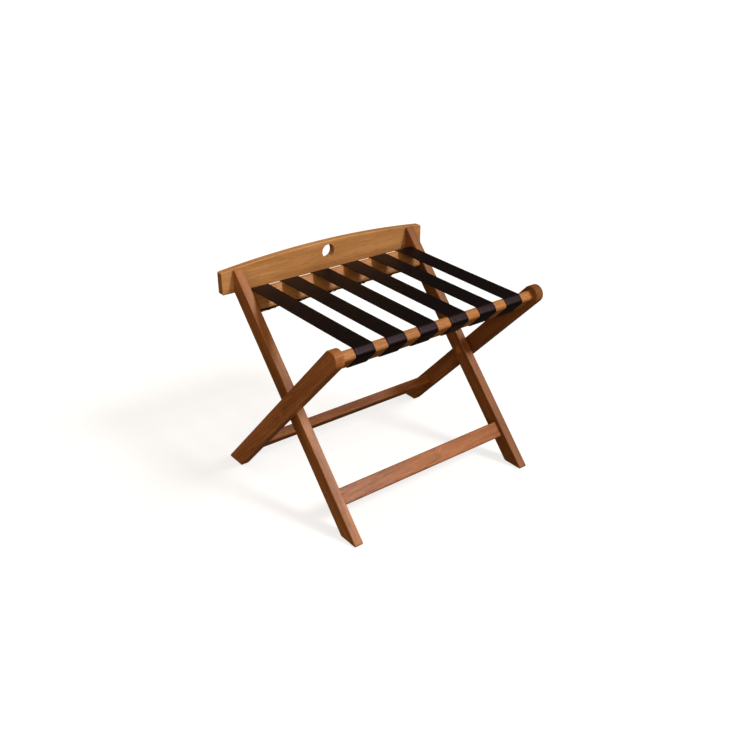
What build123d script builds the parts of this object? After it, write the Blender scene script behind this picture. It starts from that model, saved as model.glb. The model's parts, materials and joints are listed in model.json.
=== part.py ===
from build123d import *
import math
import os

# Folding luggage rack: two wooden frames crossed on a pair of pivots, six webbing straps
# between the two seat rails, and a backboard behind.
# Millimetres, +Z up, +X to the right, +Y to the back.  The origin is on the floor, under the
# middle of the rack.

# ---- driving dimensions ----
OUTER_WIDTH = 600.0          # over the outer legs
LEG_THICK = 23.0             # legs, across the rack
LEG_DEPTH = 43.0             # legs, in the plane that folds
LEG_GAP = 5.0                # between an outer and an inner leg
PIVOT_HEIGHT = 244.0
INNER_LEAN = 42.0            # degrees from upright, the top leans back
OUTER_LEAN = 44.0            # degrees from upright, the top leans forward

RAIL_THICK = 24.0            # seat rails and stretchers, in the depth of the legs
RAIL_TOP = 300.5             # top edge of both seat rails, measured along the legs from the pivot
RAIL_HEIGHT = 55.0
RAIL_ROUND = 7.0             # rounded edges that the straps turn over
STRETCHER_MID = -229.0       # middle of both stretchers, along the legs from the pivot
STRETCHER_HEIGHT = 40.0
WOOD_ROUND = 2.5             # softened edges of legs and stretchers
OUTER_TOP = 316.5            # end of the outer legs, along the leg
TOE_ROUND = 3.0              # rounded toe of each foot

BOARD_LENGTH = 606.0
BOARD_THICK = 20.0
BOARD_START = 310.0          # where the backboard's lower edge meets the back of the inner leg
BOARD_MID_HEIGHT = 72.5
BOARD_END_HEIGHT = 55.0
BOARD_ROUND = 2.0
BOARD_CORNER = 4.0
INNER_TOP_RISE = 58.0        # top of the inner legs above the backboard's lower edge
HAND_HOLE_RADIUS = 17.5
HAND_HOLE_HEIGHT = 45.5      # hole centre above the backboard's lower edge
HAND_HOLE_ROUND = 1.5

STRAP_COUNT = 6
STRAP_PITCH = 87.0
STRAP_WIDTH = 50.0
STRAP_THICK = 2.0
STRAP_CLEAR = 0.3            # between a strap and the rails
STRAP_TAIL = 8.0             # the strap ends this far past the middle of a rail's lower edge

DOWEL_RADIUS = 4.0
DOWEL_IN_LEG = 15.0
DOWEL_IN_RAIL = 20.0
DOWEL_CLEAR = 0.05
DOWEL_GLUE_ROOM = 1.0
RAIL_DOWEL_SPACING = 30.0
STRETCHER_DOWEL_SPACING = 18.0

BOLT_RADIUS = 3.0
BOLT_RUNNING_CLEAR = 0.05
BOLT_THREAD_CLEAR = 0.05
BOLT_HEAD_RADIUS = 8.0
BOLT_HEAD_THICK = 2.0
BOLT_HEAD_CLEAR = 0.05       # the outer leg turns under the head
BOLT_SOCKET_RADIUS = 2.0
BOLT_SOCKET_DEPTH = 1.2
BOLT_REACH_IN_NUT = 12.0
BOLT_END_ROOM = 1.0          # thread in the nut beyond the end of the bolt
OUTER_BORE_DEPTH = 8.0       # counterbore for the bolt head and its plug
INNER_BORE_DEPTH = 6.0       # counterbore for the nut's flange and its plug
PLUG_RADIUS = 9.0
PLUG_CLEAR = 0.05
PLUG_AIR = 0.5
NUT_SLEEVE_RADIUS = 4.5
NUT_SLEEVE_LENGTH = 15.0
NUT_FLANGE_RADIUS = 8.0
NUT_FLANGE_THICK = 1.8
SPACER_RADIUS = 11.0
SPACER_CLEAR = 0.1           # the outer leg turns against the spacer

SCREW_RADIUS = 2.2
SCREW_HEAD_RADIUS = 4.4
SCREW_LENGTH = 38.0
SCREW_RISES = (13.0, 36.0)   # above the backboard's lower edge
SCREW_RECESS = 4.8           # length of each arm of the cross recess
SCREW_SLOT = 1.0             # its width and depth

STAPLE_CROWN = 11.0
STAPLE_WIRE = 1.0
STAPLE_LEG = 8.0
STAPLES_PER_END = 2
STAPLE_SPACING = 24.0
STAPLE_SLOT_CLEAR = 0.3
STAPLE_AIR = 0.1             # between a staple's crown and the strap

NEAR = 0.01                  # tolerance for finding faces and edges
THROUGH = 1.0                # how far a cutter passes beyond the face it cuts

# ---- directions in the folding plane, as (y, z) pairs ----
inner_rad = math.radians(INNER_LEAN)
outer_rad = math.radians(OUTER_LEAN)
INNER_UP = (math.sin(inner_rad), math.cos(inner_rad))
INNER_FRONT = (-math.cos(inner_rad), math.sin(inner_rad))
OUTER_UP = (-math.sin(outer_rad), math.cos(outer_rad))
OUTER_FRONT = (-math.cos(outer_rad), -math.sin(outer_rad))

outer_leg_x = OUTER_WIDTH / 2 - LEG_THICK / 2
inner_leg_x = outer_leg_x - LEG_THICK - LEG_GAP
outer_rail_half = OUTER_WIDTH / 2 - LEG_THICK
inner_rail_half = inner_leg_x - LEG_THICK / 2

# The feet set the front and the back of the rack: the origin is halfway between them.
front_reach = PIVOT_HEIGHT * math.tan(inner_rad) + LEG_DEPTH / 2 / math.cos(inner_rad)
back_reach = PIVOT_HEIGHT * math.tan(outer_rad) + LEG_DEPTH / 2 / math.cos(outer_rad)


def toe_loss(lean):
    """How far a rounded toe stands back from the sharp corner of a leg cut to the floor."""
    half_corner = math.radians(90 - lean) / 2
    return TOE_ROUND / math.tan(half_corner) - TOE_ROUND


PIVOT_Y = (front_reach - toe_loss(INNER_LEAN) - back_reach + toe_loss(OUTER_LEAN)) / 2


def at(frame, along, across):
    """Point (y, z) of a frame: along its legs from the pivot, across them towards the front."""
    up, front = frame
    y = PIVOT_Y + up[0] * along + front[0] * across
    z = PIVOT_HEIGHT + up[1] * along + front[1] * across
    return (y, z)


INNER = (INNER_UP, INNER_FRONT)
OUTER = (OUTER_UP, OUTER_FRONT)

BOARD_FRONT_Y, BOARD_BOTTOM_Z = at(INNER, BOARD_START, -LEG_DEPTH / 2)


def cylinder_x(radius, x_from, x_to, y, z):
    length = abs(x_to - x_from)
    middle = (x_from + x_to) / 2
    return Pos(middle, y, z) * Rot(0, 90, 0) * Cylinder(radius, length)


def cylinder_y(radius, y_from, y_to, x, z):
    length = abs(y_to - y_from)
    middle = (y_from + y_to) / 2
    return Pos(x, middle, z) * Rot(90, 0, 0) * Cylinder(radius, length)


def group(solids):
    return Compound(children=list(solids))


def on_floor(frame, across):
    """Where a line along the frame, at this distance across its legs, meets the floor."""
    up, front = frame
    along = -(PIVOT_HEIGHT + front[1] * across) / up[1]
    return at(frame, along, across)


def bar_outline(frame, middle, height, thickness, radius):
    """Rounded section of a bar that runs across the rack between two legs."""
    along = height / 2
    across = thickness / 2
    corners = [
        at(frame, middle - along, -across),
        at(frame, middle - along, across),
        at(frame, middle + along, across),
        at(frame, middle + along, -across),
    ]
    section = make_face(Polyline(*corners, close=True))
    return fillet(section.vertices(), radius)


def extrude_side(section, x_middle, width):
    """Section in the folding plane, extruded across the rack."""
    return extrude(Plane.YZ.offset(x_middle - width / 2) * section, amount=width)


# ---- joinery that is cut into the legs and the rails ----
def dowel_axes(frame, middle, spacing):
    """Axes (y, z) of the two dowels in one end of a rail."""
    return [at(frame, middle - spacing / 2, 0), at(frame, middle + spacing / 2, 0)]


def dowels(frame, middle, spacing, rail_half, clear=0.0, room=0.0):
    """The dowels in both ends of a rail, or their holes when given clearance and glue room."""
    pieces = []
    for side in (-1, 1):
        inner_end = side * (rail_half - DOWEL_IN_RAIL - room)
        outer_end = side * (rail_half + DOWEL_IN_LEG + room)
        for y, z in dowel_axes(frame, middle, spacing):
            pieces.append(cylinder_x(DOWEL_RADIUS + clear, inner_end, outer_end, y, z))
    return pieces


def dowel_holes(frame, middle, spacing, rail_half):
    return dowels(frame, middle, spacing, rail_half, DOWEL_CLEAR, DOWEL_GLUE_ROOM)


RAIL_MID = RAIL_TOP - RAIL_HEIGHT / 2
FRONT_RAIL = (OUTER, RAIL_MID, RAIL_DOWEL_SPACING, outer_rail_half)
REAR_RAIL = (INNER, RAIL_MID, RAIL_DOWEL_SPACING, inner_rail_half)
REAR_STRETCHER = (OUTER, STRETCHER_MID, STRETCHER_DOWEL_SPACING, outer_rail_half)
FRONT_STRETCHER = (INNER, STRETCHER_MID, STRETCHER_DOWEL_SPACING, inner_rail_half)


def pivot_cylinder(side, radius, x_from, x_to):
    """Cylinder on the pivot axis, between two distances from the middle of the rack."""
    return cylinder_x(radius, side * x_from, side * x_to, PIVOT_Y, PIVOT_HEIGHT)


# distances from the middle of the rack, along the pivot axis
outer_leg_outside = OUTER_WIDTH / 2
outer_leg_inside = outer_rail_half
inner_leg_outside = outer_leg_inside - LEG_GAP
inner_leg_inside = inner_rail_half
bolt_head_seat = outer_leg_outside - OUTER_BORE_DEPTH
nut_flange_seat = inner_leg_inside + INNER_BORE_DEPTH
nut_sleeve_end = nut_flange_seat + NUT_SLEEVE_LENGTH


# ---- legs ----
def soften_leg(leg):
    """Rounds the long edges of a leg, but not the cut foot or the seat of the backboard."""
    edges = []
    for face in leg.faces():
        if abs(face.normal_at().X) < 1 - NEAR:
            continue
        for edge in face.edges():
            box = edge.bounding_box()
            on_ground = box.max.Z < NEAR
            upright = box.max.Y - box.min.Y < NEAR
            on_board_seat = upright and box.min.Z > BOARD_BOTTOM_Z - NEAR
            if not on_ground and not on_board_seat:
                edges.append(edge)
    return fillet(edges, WOOD_ROUND)


def inner_leg(side):
    half = LEG_DEPTH / 2
    top_z = BOARD_BOTTOM_Z + INNER_TOP_RISE
    top_front_along = (top_z - PIVOT_HEIGHT - INNER_FRONT[1] * half) / INNER_UP[1]
    outline = Polyline(
        on_floor(INNER, -half),
        on_floor(INNER, half),
        at(INNER, top_front_along, half),
        (BOARD_FRONT_Y, top_z),
        (BOARD_FRONT_Y, BOARD_BOTTOM_Z),
        close=True,
    )
    section = make_face(outline)
    toe = section.vertices().sort_by(Axis.X)[0]
    section = fillet(toe, TOE_ROUND)
    leg = extrude_side(section, side * inner_leg_x, LEG_THICK)
    leg = soften_leg(leg)
    for hole in dowel_holes(*REAR_RAIL) + dowel_holes(*FRONT_STRETCHER):
        leg -= hole
    sleeve_radius = NUT_SLEEVE_RADIUS + PLUG_CLEAR
    leg -= pivot_cylinder(side, sleeve_radius, inner_leg_inside, inner_leg_outside)
    leg -= pivot_cylinder(side, PLUG_RADIUS, inner_leg_inside, nut_flange_seat)
    for screw_hole in board_screws(side, DOWEL_CLEAR):
        leg -= screw_hole
    return leg


def outer_leg(side):
    half = LEG_DEPTH / 2
    round_middle = OUTER_TOP - half
    sides = Polyline(
        at(OUTER, round_middle, half),
        on_floor(OUTER, half),
        on_floor(OUTER, -half),
        at(OUTER, round_middle, -half),
    )
    crown = ThreePointArc(
        at(OUTER, round_middle, -half),
        at(OUTER, OUTER_TOP, 0),
        at(OUTER, round_middle, half),
    )
    section = make_face(sides + crown)
    toe = section.vertices().sort_by(Axis.X)[-1]
    section = fillet(toe, TOE_ROUND)
    leg = extrude_side(section, side * outer_leg_x, LEG_THICK)
    leg = soften_leg(leg)
    for hole in dowel_holes(*FRONT_RAIL) + dowel_holes(*REAR_STRETCHER):
        leg -= hole
    shank_radius = BOLT_RADIUS + BOLT_RUNNING_CLEAR
    leg -= pivot_cylinder(side, shank_radius, outer_leg_inside, outer_leg_outside)
    leg -= pivot_cylinder(side, PLUG_RADIUS, bolt_head_seat, outer_leg_outside)
    return leg


# ---- rails and stretchers ----
def cross_bar(joint, height, edge_round):
    frame, middle, spacing, half_length = joint
    section = bar_outline(frame, middle, height, RAIL_THICK, edge_round)
    bar = extrude_side(section, 0, 2 * half_length)
    for hole in dowel_holes(*joint):
        bar -= hole
    return bar


# ---- backboard and its screws ----
def backboard():
    half = BOARD_LENGTH / 2
    bottom = BOARD_BOTTOM_Z
    end_top = bottom + BOARD_END_HEIGHT
    middle_top = bottom + BOARD_MID_HEIGHT
    sides = Polyline((half, end_top), (half, bottom), (-half, bottom), (-half, end_top))
    crown = ThreePointArc((-half, end_top), (0, middle_top), (half, end_top))
    outline = make_face(sides + crown)
    outline = fillet(outline.vertices(), BOARD_CORNER)
    back_plane = Plane.XZ.offset(-(BOARD_FRONT_Y + BOARD_THICK))
    board = extrude(back_plane * outline, amount=BOARD_THICK)
    board = fillet(board.edges().filter_by(Axis.Y, reverse=True), BOARD_ROUND)
    hole_z = bottom + HAND_HOLE_HEIGHT
    hole_front = BOARD_FRONT_Y - THROUGH
    hole_back = BOARD_FRONT_Y + BOARD_THICK + THROUGH
    board -= cylinder_y(HAND_HOLE_RADIUS, hole_front, hole_back, 0, hole_z)
    circles = board.edges().filter_by(GeomType.CIRCLE)
    rims = circles.filter_by(lambda edge: abs(edge.radius - HAND_HOLE_RADIUS) < NEAR)
    board = fillet(rims, HAND_HOLE_ROUND)
    for side in (-1, 1):
        for screw_hole in board_screws(side, DOWEL_CLEAR):
            board -= screw_hole
    return board


def board_screws(side, clear=0.0):
    """Countersunk screws through the backboard into one inner leg, or their holes."""
    back_y = BOARD_FRONT_Y + BOARD_THICK
    screws = []
    tip_y = back_y - SCREW_LENGTH - clear
    x = side * inner_leg_x
    for rise in SCREW_RISES:
        z = BOARD_BOTTOM_Z + rise
        shank = cylinder_y(SCREW_RADIUS + clear, tip_y, back_y, x, z)
        depth = SCREW_HEAD_RADIUS - SCREW_RADIUS
        head = Cone(SCREW_HEAD_RADIUS + clear, SCREW_RADIUS + clear, depth)
        head = Pos(x, back_y - depth / 2, z) * Rot(90, 0, 0) * head
        screws.append(shank + head)
    return screws


def with_cross_recess(screw):
    box = screw.bounding_box()
    place = Pos(box.center().X, box.max.Y - SCREW_SLOT / 2, box.center().Z)
    for angle in (45, 135):
        recess = Box(SCREW_RECESS, SCREW_SLOT, SCREW_SLOT)
        screw -= place * Rot(90, 0, 0) * Rot(0, 0, angle) * recess
    return screw


# ---- pivots ----
def pivot_bolt(side):
    seat = bolt_head_seat + BOLT_HEAD_CLEAR
    shank = pivot_cylinder(side, BOLT_RADIUS, nut_sleeve_end - BOLT_REACH_IN_NUT, seat)
    head = pivot_cylinder(side, BOLT_HEAD_RADIUS, seat, seat + BOLT_HEAD_THICK)
    head_outside = seat + BOLT_HEAD_THICK
    socket = pivot_cylinder(side, BOLT_SOCKET_RADIUS, head_outside - BOLT_SOCKET_DEPTH, head_outside)
    return shank + head - socket


def pivot_sleeve_nut(side):
    flange_face = nut_flange_seat - NUT_FLANGE_THICK
    flange = pivot_cylinder(side, NUT_FLANGE_RADIUS, flange_face, nut_flange_seat)
    sleeve = pivot_cylinder(side, NUT_SLEEVE_RADIUS, nut_flange_seat, nut_sleeve_end)
    thread_start = nut_sleeve_end - BOLT_REACH_IN_NUT - BOLT_END_ROOM
    bore = pivot_cylinder(side, BOLT_RADIUS + BOLT_THREAD_CLEAR, thread_start, nut_sleeve_end)
    return flange + sleeve - bore


def pivot_spacer(side):
    ring = pivot_cylinder(side, SPACER_RADIUS, inner_leg_outside, outer_leg_inside - SPACER_CLEAR)
    shank_radius = BOLT_RADIUS + BOLT_RUNNING_CLEAR
    return ring - pivot_cylinder(side, shank_radius, inner_leg_outside, outer_leg_inside)


def outer_pivot_plug(side):
    inside = bolt_head_seat + BOLT_HEAD_CLEAR + BOLT_HEAD_THICK + PLUG_AIR
    return pivot_cylinder(side, PLUG_RADIUS - PLUG_CLEAR, inside, outer_leg_outside)


def inner_pivot_plug(side):
    inside = nut_flange_seat - NUT_FLANGE_THICK - PLUG_AIR
    return pivot_cylinder(side, PLUG_RADIUS - PLUG_CLEAR, inner_leg_inside, inside)


# ---- straps and their staples ----
def strap_edge(clear):
    """One surface of a strap, as lines and arcs at a distance from both seat rails.

    It starts under the rear rail, goes up its back and over its top, straight across to the
    front rail, over that rail's top, down its front, and ends under it.
    """
    radius = RAIL_ROUND + clear
    side = RAIL_THICK / 2 - RAIL_ROUND
    high = RAIL_TOP - RAIL_ROUND
    low = RAIL_TOP - RAIL_HEIGHT + RAIL_ROUND
    rear_top = at(INNER, high, side)
    front_top = at(OUTER, high, -side)
    span_y = front_top[0] - rear_top[0]
    span_z = front_top[1] - rear_top[1]
    span = math.hypot(span_y, span_z)
    span_normal = (span_z / span, -span_y / span)
    corners = [
        (at(INNER, low, -side), negative(INNER_UP), negative(INNER_FRONT)),
        (at(INNER, high, -side), negative(INNER_FRONT), INNER_UP),
        (rear_top, INNER_UP, span_normal),
        (front_top, span_normal, OUTER_UP),
        (at(OUTER, high, side), OUTER_UP, OUTER_FRONT),
        (at(OUTER, low, side), OUTER_FRONT, negative(OUTER_UP)),
    ]
    pieces = []
    last = at(INNER, low - radius, STRAP_TAIL)
    for centre, normal_in, normal_out in corners:
        start = shifted(centre, normal_in, radius)
        middle = shifted(centre, between(normal_in, normal_out), radius)
        end = shifted(centre, normal_out, radius)
        pieces.append(Line(last, start))
        pieces.append(ThreePointArc(start, middle, end))
        last = end
    tail = at(OUTER, low - radius, -STRAP_TAIL)
    pieces.append(Line(last, tail))
    return pieces


def negative(direction):
    return (-direction[0], -direction[1])


def between(first, second):
    """Unit direction halfway between two."""
    y = first[0] + second[0]
    z = first[1] + second[1]
    size = math.hypot(y, z)
    return (y / size, z / size)


def shifted(point, direction, distance):
    return (point[0] + direction[0] * distance, point[1] + direction[1] * distance)


def strap(x):
    under = strap_edge(STRAP_CLEAR)
    over = strap_edge(STRAP_CLEAR + STRAP_THICK)
    start_cap = Line(under[0] @ 0, over[0] @ 0)
    end_cap = Line(under[-1] @ 1, over[-1] @ 1)
    section = make_face(under + over + [start_cap, end_cap])
    band = extrude_side(section, x, STRAP_WIDTH)
    for frame in (INNER, OUTER):
        for slot in staple_leg_slots(frame, x):
            band -= slot
    return band


def strap_positions():
    first = -STRAP_PITCH * (STRAP_COUNT - 1) / 2
    return [first + STRAP_PITCH * i for i in range(STRAP_COUNT)]


def staple_positions(x):
    first = -STAPLE_SPACING * (STAPLES_PER_END - 1) / 2
    return [x + first + STAPLE_SPACING * i for i in range(STAPLES_PER_END)]


def under_rail(frame, x):
    """Plane on the lower edge of a seat rail, facing into the rail."""
    y, z = at(frame, RAIL_TOP - RAIL_HEIGHT, 0)
    up = frame[0]
    return Plane(origin=(x, y, z), x_dir=(1, 0, 0), z_dir=(0, up[0], up[1]))


def staple(frame, x):
    crown_gap = STRAP_CLEAR + STRAP_THICK + STAPLE_AIR
    crown = Pos(0, 0, -crown_gap - STAPLE_WIRE / 2) * Box(STAPLE_CROWN, STAPLE_WIRE, STAPLE_WIRE)
    pieces = crown
    for end in (-1, 1):
        leg_x = end * (STAPLE_CROWN - STAPLE_WIRE) / 2
        leg_middle = STAPLE_LEG / 2 - crown_gap - STAPLE_WIRE
        pieces += Pos(leg_x, 0, leg_middle) * Box(STAPLE_WIRE, STAPLE_WIRE, STAPLE_LEG)
    return under_rail(frame, x) * pieces


def staple_leg_slots(frame, x):
    """Room in a strap for the legs of its staples."""
    width = STAPLE_WIRE + 2 * STAPLE_SLOT_CLEAR
    height = 2 * (STRAP_CLEAR + STRAP_THICK + THROUGH)
    slots = []
    for staple_x in staple_positions(x):
        for end in (-1, 1):
            leg_x = end * (STAPLE_CROWN - STAPLE_WIRE) / 2
            slots.append(under_rail(frame, staple_x) * Pos(leg_x, 0, 0) * Box(width, width, height))
    return slots


def strap_staples(frame):
    return group(staple(frame, sx) for x in strap_positions() for sx in staple_positions(x))


# ---- the whole rack ----
def rack():
    all_screws = board_screws(-1) + board_screws(1)
    nodes = {
        "rear_seat_rail": cross_bar(REAR_RAIL, RAIL_HEIGHT, RAIL_ROUND),
        "front_seat_rail": cross_bar(FRONT_RAIL, RAIL_HEIGHT, RAIL_ROUND),
        "front_stretcher": cross_bar(FRONT_STRETCHER, STRETCHER_HEIGHT, WOOD_ROUND),
        "rear_stretcher": cross_bar(REAR_STRETCHER, STRETCHER_HEIGHT, WOOD_ROUND),
        "rear_seat_rail_dowels": group(dowels(*REAR_RAIL)),
        "front_seat_rail_dowels": group(dowels(*FRONT_RAIL)),
        "front_stretcher_dowels": group(dowels(*FRONT_STRETCHER)),
        "rear_stretcher_dowels": group(dowels(*REAR_STRETCHER)),
        "backboard": backboard(),
        "backboard_screws": group(with_cross_recess(screw) for screw in all_screws),
        "rear_strap_staples": strap_staples(INNER),
        "front_strap_staples": strap_staples(OUTER),
    }
    for name, side in (("left", -1), ("right", 1)):
        nodes[f"inner_leg_{name}"] = inner_leg(side)
        nodes[f"outer_leg_{name}"] = outer_leg(side)
        nodes[f"pivot_bolt_{name}"] = pivot_bolt(side)
        nodes[f"pivot_sleeve_nut_{name}"] = pivot_sleeve_nut(side)
        nodes[f"pivot_spacer_{name}"] = pivot_spacer(side)
        nodes[f"outer_pivot_plug_{name}"] = outer_pivot_plug(side)
        nodes[f"inner_pivot_plug_{name}"] = inner_pivot_plug(side)
    for number, x in enumerate(strap_positions(), start=1):
        nodes[f"strap_{number}"] = strap(x)
    return nodes


os.makedirs("parts", exist_ok=True)
for node, shape in rack().items():
    export_step(shape, f"parts/{node}.step")
print("pivot axis at y, z:", round(PIVOT_Y, 4), PIVOT_HEIGHT)
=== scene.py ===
import json
import math
import random

import bpy
from mathutils import Matrix, Vector


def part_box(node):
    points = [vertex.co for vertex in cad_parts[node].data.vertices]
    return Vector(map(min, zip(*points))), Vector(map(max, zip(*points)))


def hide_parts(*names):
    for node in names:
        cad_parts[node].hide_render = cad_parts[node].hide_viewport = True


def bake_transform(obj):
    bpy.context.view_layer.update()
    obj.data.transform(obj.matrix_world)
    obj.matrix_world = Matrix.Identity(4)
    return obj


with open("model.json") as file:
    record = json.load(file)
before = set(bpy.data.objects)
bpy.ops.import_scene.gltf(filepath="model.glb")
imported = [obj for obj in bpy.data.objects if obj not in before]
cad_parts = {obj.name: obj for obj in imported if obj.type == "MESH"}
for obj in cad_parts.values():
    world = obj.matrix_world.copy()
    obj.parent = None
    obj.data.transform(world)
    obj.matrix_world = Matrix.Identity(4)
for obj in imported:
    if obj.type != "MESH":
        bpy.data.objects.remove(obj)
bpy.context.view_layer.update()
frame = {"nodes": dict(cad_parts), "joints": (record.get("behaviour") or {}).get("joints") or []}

# Folding luggage rack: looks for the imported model.  Metres, +Z up, +Y to the back.
MM = 0.001

# ---- the frame's own dimensions, as the part's source has them ----
INNER_LEAN = math.radians(42.0)
OUTER_LEAN = math.radians(44.0)
RAIL_THICK = 24.0 * MM
RAIL_TOP = 300.5 * MM
RAIL_HEIGHT = 55.0 * MM
RAIL_ROUND = 7.0 * MM
STRAP_WIDTH = 50.0 * MM
STRAP_THICK = 2.0 * MM
STRAP_CLEAR = 0.3 * MM
STRAP_TAIL = 8.0 * MM
STRAP_COUNT = 6

INNER_UP = Vector((0, math.sin(INNER_LEAN), math.cos(INNER_LEAN)))
INNER_FRONT = Vector((0, -math.cos(INNER_LEAN), math.sin(INNER_LEAN)))
OUTER_UP = Vector((0, -math.sin(OUTER_LEAN), math.cos(OUTER_LEAN)))
OUTER_FRONT = Vector((0, -math.cos(OUTER_LEAN), -math.sin(OUTER_LEAN)))
ACROSS = Vector((1, 0, 0))
FORWARD = Vector((0, -1, 0))
UP = Vector((0, 0, 1))
PIVOT = Vector(frame["joints"][0]["pos_m"])


# ---- node helpers ----
class Shader:
    """A material and short ways to add and join its nodes."""

    def __init__(self, name):
        self.material = bpy.data.materials.new(name)
        self.material.use_nodes = True
        self.tree = self.material.node_tree
        self.tree.nodes.clear()
        self.output = self.tree.nodes.new("ShaderNodeOutputMaterial")
        self.surface = self.tree.nodes.new("ShaderNodeBsdfPrincipled")
        self.tree.links.new(self.surface.outputs[0], self.output.inputs[0])

    def put(self, socket, value):
        """Join a socket to another node's output, or set its own value."""
        if isinstance(value, bpy.types.NodeSocket):
            self.tree.links.new(value, socket)
        else:
            socket.default_value = value

    def add(self, kind, *inputs, **settings):
        """A node of this kind, with its first inputs given in order; None leaves one alone."""
        node = self.tree.nodes.new("ShaderNode" + kind)
        for key, value in settings.items():
            setattr(node, key, value)
        for socket, value in zip(node.inputs, inputs):
            if value is not None:
                self.put(socket, value)
        return node

    def math(self, operation, *inputs):
        return self.add("Math", *inputs, operation=operation).outputs[0]

    def dot(self, first, second):
        return self.add("VectorMath", first, second, operation="DOT_PRODUCT").outputs[1]

    def noise(self, vector, scale=1.0, detail=2.0, roughness=0.5):
        node = self.tree.nodes.new("ShaderNodeTexNoise")
        self.put(node.inputs["Vector"], vector)
        self.put(node.inputs["Scale"], scale)
        self.put(node.inputs["Detail"], detail)
        self.put(node.inputs["Roughness"], roughness)
        return node.outputs[0]

    def stretch(self, vector, scale, shift=(0, 0, 0)):
        """Coordinates for noise: scaled along each axis, then moved."""
        node = self.add("Mapping", vector)
        node.inputs["Scale"].default_value = scale
        node.inputs["Location"].default_value = shift
        return node.outputs[0]

    def ramp(self, value, stops):
        """Smooth grey ramp; each stop is (position, grey)."""
        node = self.add("ValToRGB", value)
        node.color_ramp.interpolation = "EASE"
        elements = node.color_ramp.elements
        while len(elements) < len(stops):
            elements.new(0.5)
        for element, (position, grey) in zip(elements, stops):
            element.position = position
            element.color = (grey, grey, grey, 1.0)
        return node.outputs[0]

    def remap(self, value, low, high, to_low=0.0, to_high=1.0):
        """A value between low and high moved to between two others, and held there."""
        return self.add("MapRange", value, low, high, to_low, to_high).outputs[0]

    def mix(self, share, first, second):
        """The first colour, turned into the second by a share from 0 to 1."""
        node = self.tree.nodes.new("ShaderNodeMix")
        node.data_type = "RGBA"
        self.put(node.inputs[0], share)
        for socket, colour in ((node.inputs[6], first), (node.inputs[7], second)):
            self.put(socket, (*colour, 1.0) if isinstance(colour, tuple) else colour)
        return node.outputs[2]

    def bump(self, height, distance, strength):
        node = self.tree.nodes.new("ShaderNodeBump")
        self.put(node.inputs["Height"], height)
        self.put(node.inputs["Distance"], distance)
        self.put(node.inputs["Strength"], strength)
        self.tree.links.new(node.outputs[0], self.surface.inputs["Normal"])

    def set(self, **values):
        """Inputs of the surface by name, with an underscore for each space."""
        for name, value in values.items():
            self.put(self.surface.inputs[name.replace("_", " ")], value)


# ---- wood ----
# noise cells per metre, first along the grain and then both ways across it
WANDER = (2.2, 11.0, 11.0)
SHIVER = (9.0, 90.0, 90.0)
FIBRE = (14.0, 420.0, 420.0)
PORE = (45.0, 1500.0, 1500.0)
STREAK = (3.5, 55.0, 55.0)
CLOUD = (5.0, 22.0, 22.0)
PATCH = (22.0, 60.0, 60.0)

TRUNK_TAPER = 0.022          # growth of the ring radius along the grain
WANDER_DEPTH = 26 * MM       # how far the rings stray, slowly and quickly
SHIVER_DEPTH = 1.6 * MM
RING_TONE = [(0.0, 0.1), (0.12, 0.0), (0.62, 0.35), (0.88, 1.0), (1.0, 0.1)]
EDGE_RUB_AND_HIGHLIGHT = 2.6 * MM          # width of the paler band along an edge: rubbed stain and a painted highlight
WOOD_RELIEF = 0.16 * MM
GRAIN_SHIFT = 3.0            # largest shift of the noise from one piece to another
PITH_TURN = (0.55, 1.0)      # radians round the grain, from the depth direction to the pith


def grain_space(shader, coordinates, along, depth):
    """Object coordinates turned so that their first axis runs along the grain."""
    side = along.cross(depth).normalized()
    turned = shader.add("Mapping", coordinates.outputs["Object"], vector_type="TEXTURE")
    turned.inputs["Rotation"].default_value = Matrix((along, side, depth)).transposed().to_euler()
    return turned.outputs[0]


def growth_rings(shader, local, shift, angle, pith, ring):
    """Late wood as grey, in rings round a pith outside the piece that wander along the grain."""
    wander = shader.noise(shader.stretch(local, WANDER, shift), detail=2.0)
    shiver = shader.noise(shader.stretch(local, SHIVER, shift), detail=3.0)
    parts = shader.add("SeparateXYZ", local).outputs
    off_side = shader.math("ADD", parts[1], pith * math.sin(angle))
    off_depth = shader.math("ADD", parts[2], pith * math.cos(angle))
    squares = shader.math("MULTIPLY", off_depth, off_depth)
    squares = shader.math("MULTIPLY_ADD", off_side, off_side, squares)
    radius = shader.math("SQRT", squares)
    radius = shader.math("MULTIPLY_ADD", parts[0], TRUNK_TAPER, radius)
    radius = shader.math("MULTIPLY_ADD", wander, WANDER_DEPTH, radius)
    radius = shader.math("MULTIPLY_ADD", shiver, SHIVER_DEPTH, radius)
    return shader.ramp(shader.math("FRACT", shader.math("DIVIDE", radius, ring)), RING_TONE)


def sawn_ends(shader, coordinates, along, end_dark):
    """How far a surface is end grain, up to the share given for it."""
    facing = shader.math("ABSOLUTE", shader.dot(coordinates.outputs["Normal"], tuple(along)))
    return shader.remap(facing, 0.45, 0.95, 0.0, end_dark)


def rubbed_and_highlit_edges(shader, local, shift):
    """How far the stain is rubbed off, in patches along the edges; the paler edge is also a painted
    highlight.
    """
    rounded = shader.add("Bevel", EDGE_RUB_AND_HIGHLIGHT, samples=4).outputs[0]
    flat = shader.add("NewGeometry").outputs["Normal"]
    rub_and_highlight = shader.remap(shader.dot(rounded, flat), 0.995, 0.93)
    patches = shader.noise(shader.stretch(local, PATCH, shift), detail=3.0)
    return shader.math("MULTIPLY", rub_and_highlight, shader.remap(patches, 0.42, 0.62, 0.08, 0.5))


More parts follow.
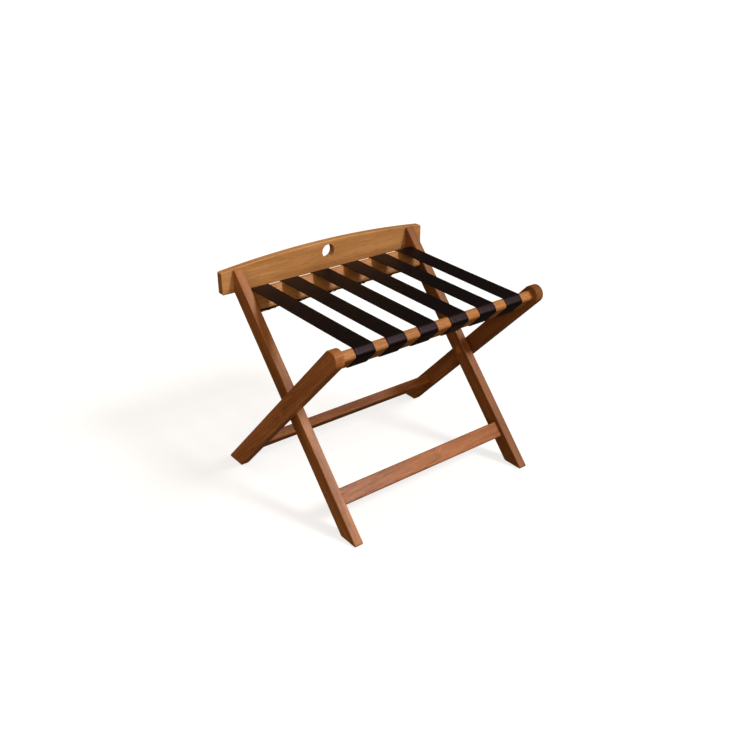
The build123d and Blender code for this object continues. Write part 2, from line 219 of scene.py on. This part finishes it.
def wood(name, along, depth, seed, tones, pith=0.075, ring=2.6 * MM, end_dark=0.25):
    """Stained, varnished wood whose grain runs along one direction, with rings on its ends."""
    light, middle, dark = tones
    shader = Shader(name)
    coordinates = shader.add("TexCoord")
    local = grain_space(shader, coordinates, along, depth)
    draw = random.Random(seed)
    shift = [draw.uniform(-GRAIN_SHIFT, GRAIN_SHIFT) for _ in range(3)]
    rings = growth_rings(shader, local, shift, draw.uniform(*PITH_TURN), pith, ring)

    # fibres, open pores and slow changes of tone
    fibre = shader.noise(shader.stretch(local, FIBRE, shift), detail=4.0, roughness=0.65)
    pore = shader.noise(shader.stretch(local, PORE, shift), detail=1.0)
    pores = shader.remap(pore, 0.60, 0.72)
    streak = shader.noise(shader.stretch(local, STREAK, shift), detail=2.0)
    cloud = shader.noise(shader.stretch(local, CLOUD, shift[::-1]), detail=1.0)
    grain = shader.math("MULTIPLY", rings, shader.remap(cloud, 0.3, 0.7, 0.35, 0.85))

    open_pore = tuple(c * 0.35 for c in dark)
    # paler edges: rubbed-off stain, and a painted highlight along every rounded edge
    rubbed_and_highlit = tuple(min(1.0, c * 1.35) for c in light)
    rub_and_highlight = rubbed_and_highlit_edges(shader, local, shift)
    colour = shader.mix(shader.remap(streak, 0.34, 0.66), light, middle)
    colour = shader.mix(shader.math("MULTIPLY", grain, 0.62), colour, dark)
    colour = shader.mix(shader.remap(fibre, 0.40, 0.72, 0.0, 0.42), colour, dark)
    colour = shader.mix(shader.remap(cloud, 0.45, 0.75, 0.0, 0.35), colour, dark)
    colour = shader.mix(shader.math("MULTIPLY", pores, 0.55), colour, open_pore)
    colour = shader.mix(sawn_ends(shader, coordinates, along, end_dark), colour, dark)
    colour = shader.mix(rub_and_highlight, colour, rubbed_and_highlit)

    gloss = shader.math("MULTIPLY_ADD", fibre, 0.22, 0.25)
    gloss = shader.math("MULTIPLY_ADD", rub_and_highlight, 0.18, gloss)
    shader.set(Base_Color=colour, Roughness=gloss, Specular_IOR_Level=0.16)
    shader.set(Coat_Weight=0.05, Coat_Roughness=0.3)
    height = shader.math("MULTIPLY_ADD", pores, -1.0, shader.math("MULTIPLY", rings, 0.35))
    height = shader.math("MULTIPLY_ADD", fibre, 0.5, height)
    shader.bump(height, WOOD_RELIEF, 0.6)
    return shader.material


# ---- metal, plastic ----
def zinc(name, seed):
    """Bright zinc plate, slightly cloudy, with fine scratches."""
    shader = Shader(name)
    place = shader.add("TexCoord").outputs["Object"]
    cloud = shader.noise(shader.stretch(place, (260.0, 260.0, 260.0), (seed, 0, 0)), detail=3.0)
    scratch = shader.noise(shader.stretch(place, (180.0, 2600.0, 900.0), (0, seed, 0)), detail=2.0)
    colour = shader.mix(shader.remap(cloud, 0.35, 0.7), (0.60, 0.60, 0.58), (0.42, 0.42, 0.42))
    gloss = shader.math("MULTIPLY_ADD", scratch, 0.22, 0.24)
    shader.set(Base_Color=colour, Metallic=1.0, Roughness=gloss)
    shader.bump(scratch, 0.02 * MM, 0.5)
    return shader.material


def moulded_plastic(name):
    """Black moulded plastic with a fine spark-eroded texture."""
    shader = Shader(name)
    place = shader.add("TexCoord").outputs["Object"]
    grain = shader.noise(place, scale=1800.0, detail=2.0)
    dust = shader.noise(place, scale=140.0, detail=3.0)
    colour = shader.mix(shader.remap(dust, 0.45, 0.75), (0.020, 0.019, 0.018), (0.045, 0.041, 0.038))
    shader.set(Base_Color=colour, Roughness=shader.math("MULTIPLY_ADD", grain, 0.2, 0.42))
    shader.bump(grain, 0.05 * MM, 0.5)
    return shader.material


# ---- webbing material ----
WEAVE = "weave"              # per point: across and along the flat strap, in metres
RIB_PITCH = 2.5 * MM
PICK_PITCH = 1.5 * MM
WEAVE_RELIEF = 0.22 * MM
# thread colours: painted shade in the weave's hollows, a painted highlight on the thread tops, then
# fuzz and worn threads
THREAD_SHADE, THREAD_HIGHLIT_TOP = (0.0005, 0.0002, 0.0002), (0.0024, 0.0007, 0.0009)
THREAD_FUZZ, THREAD_WORN = (0.0055, 0.0018, 0.0023), (0.0045, 0.0015, 0.0019)


def half_wave(shader, turns):
    """A hump from 0 to 1 and back in each whole turn."""
    return shader.math("SINE", shader.math("MULTIPLY", shader.math("FRACT", turns), math.pi))


def webbing(name):
    """Black woven webbing: lengthwise ribs of slanted stitches, slightly glossy, with painted shade in
    the weave's hollows and a painted highlight on the thread tops.
    """
    shader = Shader(name)
    woven = shader.add("Attribute", attribute_name=WEAVE).outputs["Vector"]
    parts = shader.add("SeparateXYZ", woven).outputs
    rib = shader.math("DIVIDE", parts[0], RIB_PITCH)
    hump = half_wave(shader, rib)
    # the stitches slant one way on one rib and the other way on the next
    zigzag = shader.math("PINGPONG", rib, 1.0)
    pick = shader.math("ADD", shader.math("DIVIDE", parts[1], PICK_PITCH), zigzag)
    stitch = half_wave(shader, pick)
    weave = shader.math("MULTIPLY", shader.math("POWER", hump, 0.5), shader.math("POWER", stitch, 0.6))
    fuzz = shader.noise(shader.stretch(woven, (900.0, 420.0, 1.0)), detail=3.0, roughness=0.7)
    wear = shader.noise(shader.stretch(woven, (40.0, 14.0, 1.0)), detail=2.0)
    # painted shade and highlight: the weave's hollows darker, the thread tops lighter
    colour = shader.mix(weave, THREAD_SHADE, THREAD_HIGHLIT_TOP)
    colour = shader.mix(shader.remap(fuzz, 0.5, 0.8, 0.0, 0.5), colour, THREAD_FUZZ)
    colour = shader.mix(shader.remap(wear, 0.5, 0.75, 0.0, 0.25), colour, THREAD_WORN)
    gloss = shader.math("MULTIPLY_ADD", weave, -0.08, 0.44)
    shader.set(Base_Color=colour, Roughness=gloss, Specular_IOR_Level=0.19)
    shader.set(Specular_Tint=(1.0, 0.66, 0.80, 1.0))
    shader.bump(shader.math("MULTIPLY_ADD", fuzz, 0.2, weave), WEAVE_RELIEF, 0.45)
    return shader.material


# ---- webbing straps ----
CORNER_STEPS = 8             # segments round each corner of a rail
RUN_STEP = 3.0 * MM          # about the length of a segment on a straight
LEVEL = 0.99                 # a strap faces up where its outward direction rises more than this
# how far each strap lies off its place, in mm, on the rear rail and on the front rail
STRAP_LAY = [(-3.0, 1.0), (-5.0, -1.5), (-2.5, -1.0), (2.5, 1.0), (3.5, 0.0), (4.0, -2.5)]
SAG = (0.4, 1.1)             # least and most, in mm, in the middle of the span
DRIFT = 0.5                  # most, in mm, sideways in the middle of the span
STRAP_SEED = 6

SELVEDGE = 3.0 * MM          # width of the bound edge
GROOVE_WIDTH = 0.7 * MM      # the groove inside it
GROOVE_DEPTH = 0.22          # as a share of half the thickness
# points across the strap, from the edge in mm, and then even steps to the middle
EDGE_STEPS = (0.0, 0.12, 0.4, 1.0, 1.8, 2.5, 3.0, 3.5, 4.4)
BODY_STEPS = 6


def arc(centre, first, second, radius):
    """Points round a corner, from one outward direction to the next."""
    angle = first.angle(second)
    axis = first.cross(second).normalized()
    return [
        centre + Matrix.Rotation(angle * i / CORNER_STEPS, 3, axis) @ first * radius
        for i in range(CORNER_STEPS + 1)
    ]


def run(start, end):
    """Points strictly between two ends, about one step apart."""
    count = max(2, round((end - start).length / RUN_STEP))
    return [start.lerp(end, i / count) for i in range(1, count)]


def strap_line(x):
    """The middle of a strap's thickness: (points, outward directions), rear end to front end."""
    distance = RAIL_ROUND + STRAP_CLEAR + STRAP_THICK / 2
    side = RAIL_THICK / 2 - RAIL_ROUND
    high = RAIL_TOP - RAIL_ROUND
    low = RAIL_TOP - RAIL_HEIGHT + RAIL_ROUND
    base = Vector((x, PIVOT.y, PIVOT.z))
    rear_top = base + INNER_UP * high + INNER_FRONT * side
    front_top = base + OUTER_UP * high - OUTER_FRONT * side
    above = ACROSS.cross(rear_top - front_top).normalized()
    # centre of each rounded corner, with the outward directions before and after it
    corners = [
        (base + INNER_UP * low - INNER_FRONT * side, -INNER_UP, -INNER_FRONT),
        (base + INNER_UP * high - INNER_FRONT * side, -INNER_FRONT, INNER_UP),
        (rear_top, INNER_UP, above),
        (front_top, above, OUTER_UP),
        (base + OUTER_UP * high + OUTER_FRONT * side, OUTER_UP, OUTER_FRONT),
        (base + OUTER_UP * low + OUTER_FRONT * side, OUTER_FRONT, -OUTER_UP),
    ]
    points = [base + INNER_UP * (low - distance) + INNER_FRONT * STRAP_TAIL]
    outward = [-INNER_UP]
    for centre, first, second in corners:
        turn = arc(centre, first, second, distance)
        straight = run(points[-1], turn[0])
        points += straight + turn
        outward += [first] * len(straight)
        outward += [(p - centre).normalized() for p in turn]
    end = base + OUTER_UP * (low - distance) - OUTER_FRONT * STRAP_TAIL
    straight = run(points[-1], end)
    points += straight + [end]
    outward += [-OUTER_UP] * (len(straight) + 1)
    return points, outward


def distances(points):
    """Distance along a line of points, from the first one to each."""
    lengths = [0.0]
    for before, after in zip(points, points[1:]):
        lengths.append(lengths[-1] + (after - before).length)
    return lengths


def laid(points, outward, lengths, rear_lay, front_lay, draw):
    """The strap's points as it really lies: sagging a little and slightly out of place."""
    sag = draw.uniform(*SAG) * MM
    drift = draw.uniform(-DRIFT, DRIFT) * MM
    span = [length for length, out in zip(lengths, outward) if out.z > LEVEL]
    places = []
    for point, out, length in zip(points, outward, lengths):
        share = min(1.0, max(0.0, (length - span[0]) / (span[-1] - span[0])))
        place = point - out * (sag * 4 * share * (1 - share))
        place.x += drift * math.sin(math.pi * share)
        place.x += (rear_lay + (front_lay - rear_lay) * share) * MM
        places.append(place)
    return places


def section_height(across):
    """Half thickness of the strap at a distance from its middle: a thin edge bead, then the body."""
    from_edge = STRAP_WIDTH / 2 - abs(across)
    full = STRAP_THICK / 2
    if from_edge < full:
        return full * math.sqrt(max(0.0, 1 - (1 - from_edge / full) ** 2))
    groove = math.exp(-((from_edge - SELVEDGE) / GROOVE_WIDTH) ** 2)
    return full * (1 - GROOVE_DEPTH * groove)


def section_points():
    """Closed section as (across, outward) pairs, top side first from left to right."""
    half = STRAP_WIDTH / 2
    edge = [step * MM for step in EDGE_STEPS]
    body = half - edge[-1]
    inside = [edge[-1] + body * i / BODY_STEPS for i in range(1, BODY_STEPS + 1)]
    left = [-half + e for e in edge + inside]
    top = left + [-a for a in reversed(left[:-1])]
    upper = [(a, section_height(a)) for a in top]
    lower = [(a, -section_height(a)) for a in reversed(top[1:-1])]
    return upper + lower


def tube_faces(rows, size):
    """Faces of a tube made of rows of points, closed at both ends."""
    faces = []
    for i in range(rows - 1):
        for j in range(size):
            k = (j + 1) % size
            faces.append((i * size + j, (i + 1) * size + j, (i + 1) * size + k, i * size + k))
    faces.append(tuple(range(size)))
    faces.append(tuple(reversed(range((rows - 1) * size, rows * size))))
    return faces


def strap_mesh(name, places, outward, lengths):
    """The section swept along the strap, with flat strap coordinates on its points."""
    section = section_points()
    vertices, weave = [], []
    for place, out, length in zip(places, outward, lengths):
        for across, up in section:
            vertices.append(place + ACROSS * across + out * up)
            weave += [across, length, 0.0]
    mesh = bpy.data.meshes.new(name)
    mesh.from_pydata(vertices, [], tube_faces(len(places), len(section)))
    attribute = mesh.attributes.new(WEAVE, "FLOAT_VECTOR", "POINT")
    attribute.data.foreach_set("vector", weave)
    mesh.shade_smooth()
    return mesh


def make_strap(number, material, draw):
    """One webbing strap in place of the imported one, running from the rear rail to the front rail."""
    low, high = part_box(f"strap_{number}")
    x = (low.x + high.x) / 2
    points, outward = strap_line(x)
    lengths = distances(points)
    places = laid(points, outward, lengths, *STRAP_LAY[number - 1], draw)
    name = f"webbing_strap_{number}"
    mesh = strap_mesh(name, places, outward, lengths)
    mesh.materials.append(material)
    strap = bpy.data.objects.new(name, mesh)
    bpy.context.scene.collection.objects.link(strap)
    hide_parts(f"strap_{number}")
    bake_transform(strap)


def make_straps():
    """All the straps, in order, from one series of random draws."""
    black_webbing = webbing("black_webbing")
    draw = random.Random(STRAP_SEED)
    for number in range(1, STRAP_COUNT + 1):
        make_strap(number, black_webbing, draw)


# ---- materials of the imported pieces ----
# each wood tone: light, middle and dark colour
GOLDEN = ((0.44, 0.170, 0.048), (0.30, 0.105, 0.027), (0.110, 0.030, 0.007))
# a darker GOLDEN: painted shade for the right legs, whose seen faces lie in shade
SHADED_GOLDEN = ((0.32, 0.118, 0.031), (0.215, 0.070, 0.016), (0.080, 0.021, 0.005))
ORANGE = ((0.40, 0.135, 0.030), (0.27, 0.082, 0.016), (0.095, 0.024, 0.005))
TAWNY = ((0.42, 0.144, 0.026), (0.29, 0.088, 0.014), (0.100, 0.024, 0.004))
RUSSET = ((0.50, 0.192, 0.058), (0.36, 0.126, 0.036), (0.135, 0.037, 0.010))
AMBER = ((0.58, 0.295, 0.112), (0.45, 0.212, 0.072), (0.210, 0.076, 0.022))
HONEY = ((0.54, 0.238, 0.070), (0.40, 0.160, 0.042), (0.170, 0.053, 0.012))
BEECH = ((0.62, 0.42, 0.24), (0.52, 0.33, 0.17), (0.36, 0.20, 0.09))

# node, grain direction, depth direction, seed, tone
TIMBER = [
    ("inner_leg_left", INNER_UP, INNER_FRONT, 11, GOLDEN),
    # both right legs take the darker tone as painted shade
    ("inner_leg_right", INNER_UP, INNER_FRONT, 23, SHADED_GOLDEN),
    ("outer_leg_left", OUTER_UP, OUTER_FRONT, 35, RUSSET),
    ("outer_leg_right", OUTER_UP, OUTER_FRONT, 47, SHADED_GOLDEN),
    ("front_seat_rail", ACROSS, OUTER_FRONT, 51, HONEY),
    ("rear_seat_rail", ACROSS, INNER_FRONT, 63, HONEY),
    ("front_stretcher", ACROSS, INNER_FRONT, 77, ORANGE),
    ("rear_stretcher", ACROSS, OUTER_FRONT, 81, TAWNY),
]
PLUG_PITH = 0.04
DOWEL_PITH = 0.02
DOWEL_RING = 1.2 * MM


def paint(node, material):
    """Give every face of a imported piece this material."""
    for material_slot in frame["nodes"][node].material_slots:
        material_slot.material = material


def paint_wood():
    """One material for each piece of timber, so that no two have the same grain."""
    for node, along, depth, seed, tones in TIMBER:
        paint(node, wood(f"wood_{node}", along, depth, seed, tones))
    # the backboard's sawn ends and the wall of its hole are darker: end grain drinks more stain, and
    # the extra darkness is painted shade
    paint("backboard", wood("wood_backboard", ACROSS, FORWARD, 95, AMBER, end_dark=0.6))
    for side in ("left", "right"):
        inner = wood(f"wood_inner_plug_{side}", INNER_UP, INNER_FRONT, 5, GOLDEN, pith=PLUG_PITH)
        outer = wood(f"wood_outer_plug_{side}", OUTER_UP, OUTER_FRONT, 9, RUSSET, pith=PLUG_PITH)
        paint(f"inner_pivot_plug_{side}", inner)
        paint(f"outer_pivot_plug_{side}", outer)
    dowel_wood = wood("wood_dowels", ACROSS, UP, 3, BEECH, pith=DOWEL_PITH, ring=DOWEL_RING)
    for node in ("rear_seat_rail", "front_seat_rail", "front_stretcher", "rear_stretcher"):
        paint(f"{node}_dowels", dowel_wood)


def paint_hardware():
    """Steel for the fasteners and plastic for the spacers."""
    zinc_plate = zinc("zinc_plate", 4.0)
    staple_wire = zinc("staple_wire", 9.0)
    spacer_plastic = moulded_plastic("spacer_plastic")
    for side in ("left", "right"):
        paint(f"pivot_bolt_{side}", zinc_plate)
        paint(f"pivot_sleeve_nut_{side}", zinc_plate)
        paint(f"pivot_spacer_{side}", spacer_plastic)
    paint("backboard_screws", zinc_plate)
    paint("rear_strap_staples", staple_wire)
    paint("front_strap_staples", staple_wire)


# ---- floor, light and camera ----
FLOOR_REACH = 60.0
FLOOR_DROP = 0.3 * MM        # below the feet
FLOOR_GREY = (0.36, 0.36, 0.36, 1.0)
FLOOR_GLOW = 0.72
WHITE = (1.0, 1.0, 1.0, 1.0)
DAYLIGHT = (1.0, 0.84, 0.68, 1.0)
# strength of the daylight from below the horizon to above it, and its share from the front to
# the back; each row is two directions' Z or Y, then the value at each of them
DAYLIGHT_BY_HEIGHT = (-0.35, 0.45, 0.10, 0.55)
DAYLIGHT_BY_DEPTH = (-0.2, 0.6, 1.0, 0.1)

# name, azimuth, elevation and spread in degrees, strength, colour
LAMPS = [
    ("key", 31, 43, 16, 2.45, (1.0, 0.965, 0.91)),
    ("fill", -42, 14, 50, 0.85, (1.0, 0.84, 0.66)),
    ("back_fill", -160, 30, 60, 0.75, (1.0, 0.88, 0.75)),
]

CAMERA_AZIMUTH, CAMERA_ELEVATION = -37.835, 27.066
CAMERA_X, CAMERA_BEFORE_PIVOT, CAMERA_HEIGHT = -1.2068, 1.5201, 1.2398
CAMERA_LENS, CAMERA_SENSOR = 42.61, 36.0


def make_floor():
    """A wide pale floor just under the feet."""
    mesh = bpy.data.meshes.new("floor")
    signs = [(-1, -1), (1, -1), (1, 1), (-1, 1)]
    corners = [(x * FLOOR_REACH, y * FLOOR_REACH, 0) for x, y in signs]
    mesh.from_pydata(corners, [], [(0, 1, 2, 3)])
    floor = bpy.data.objects.new("floor", mesh)
    floor.location.z = -FLOOR_DROP
    bpy.context.scene.collection.objects.link(floor)
    shader = Shader("pale_floor")
    shader.set(Base_Color=FLOOR_GREY, Roughness=0.95, Specular_IOR_Level=0.0)
    shader.set(Emission_Color=WHITE, Emission_Strength=FLOOR_GLOW)
    mesh.materials.append(shader.material)
    # a bright, even backdrop that doesn't light the rack from below
    floor.visible_diffuse = False
    floor.visible_glossy = False


def make_world():
    """Soft daylight from above and in front; it is dimmer below the horizon and behind."""
    world = bpy.data.worlds.new("studio")
    world.use_nodes = True
    nodes, links = world.node_tree.nodes, world.node_tree.links

    def fade(value, limits):
        node = nodes.new("ShaderNodeMapRange")
        for socket, number in zip(list(node.inputs)[1:5], limits):
            socket.default_value = number
        links.new(value, node.inputs["Value"])
        return node.outputs[0]

    parts = nodes.new("ShaderNodeSeparateXYZ")
    links.new(nodes.new("ShaderNodeTexCoord").outputs["Generated"], parts.inputs[0])
    strength = nodes.new("ShaderNodeMath")
    strength.operation = "MULTIPLY"
    links.new(fade(parts.outputs["Z"], DAYLIGHT_BY_HEIGHT), strength.inputs[0])
    links.new(fade(parts.outputs["Y"], DAYLIGHT_BY_DEPTH), strength.inputs[1])
    daylight = nodes["Background"]
    daylight.inputs[0].default_value = DAYLIGHT
    links.new(strength.outputs[0], daylight.inputs[1])
    # seen directly, it is the same white as the floor
    white = nodes.new("ShaderNodeBackground")
    white.inputs[0].default_value = WHITE
    seen = nodes.new("ShaderNodeMixShader")
    links.new(nodes.new("ShaderNodeLightPath").outputs["Is Camera Ray"], seen.inputs[0])
    links.new(daylight.outputs[0], seen.inputs[1])
    links.new(white.outputs[0], seen.inputs[2])
    links.new(seen.outputs[0], nodes["World Output"].inputs["Surface"])
    bpy.context.scene.world = world


def direction(azimuth, elevation):
    """Unit vector away from the rack; azimuth 0 is in front and grows to the right."""
    azimuth, elevation = math.radians(azimuth), math.radians(elevation)
    level = math.cos(elevation)
    return Vector((math.sin(azimuth) * level, -math.cos(azimuth) * level, math.sin(elevation)))


def place_facing_rack(name, data, away):
    """An object that looks back along a direction."""
    item = bpy.data.objects.new(name, data)
    item.rotation_mode = "QUATERNION"
    item.rotation_quaternion = (-away).to_track_quat("-Z", "Y")
    bpy.context.scene.collection.objects.link(item)
    return item


def soft_sun(name, azimuth, elevation, spread, strength, colour):
    """A distant lamp as wide as a large soft box."""
    data = bpy.data.lights.new(name, "SUN")
    data.angle = math.radians(spread)
    data.energy = strength
    data.color = colour
    place_facing_rack(name, data, direction(azimuth, elevation))


def make_camera():
    """The view from the front left and above."""
    data = bpy.data.cameras.new("camera")
    data.sensor_width = CAMERA_SENSOR
    data.lens = CAMERA_LENS
    camera = place_facing_rack("camera", data, direction(CAMERA_AZIMUTH, CAMERA_ELEVATION))
    camera.location = (CAMERA_X, PIVOT.y - CAMERA_BEFORE_PIVOT, CAMERA_HEIGHT)
    bpy.context.scene.camera = camera


paint_wood()
paint_hardware()
make_straps()
make_floor()
make_world()
for lamp in LAMPS:
    soft_sun(*lamp)
make_camera()
bpy.context.scene.view_settings.view_transform = "Standard"
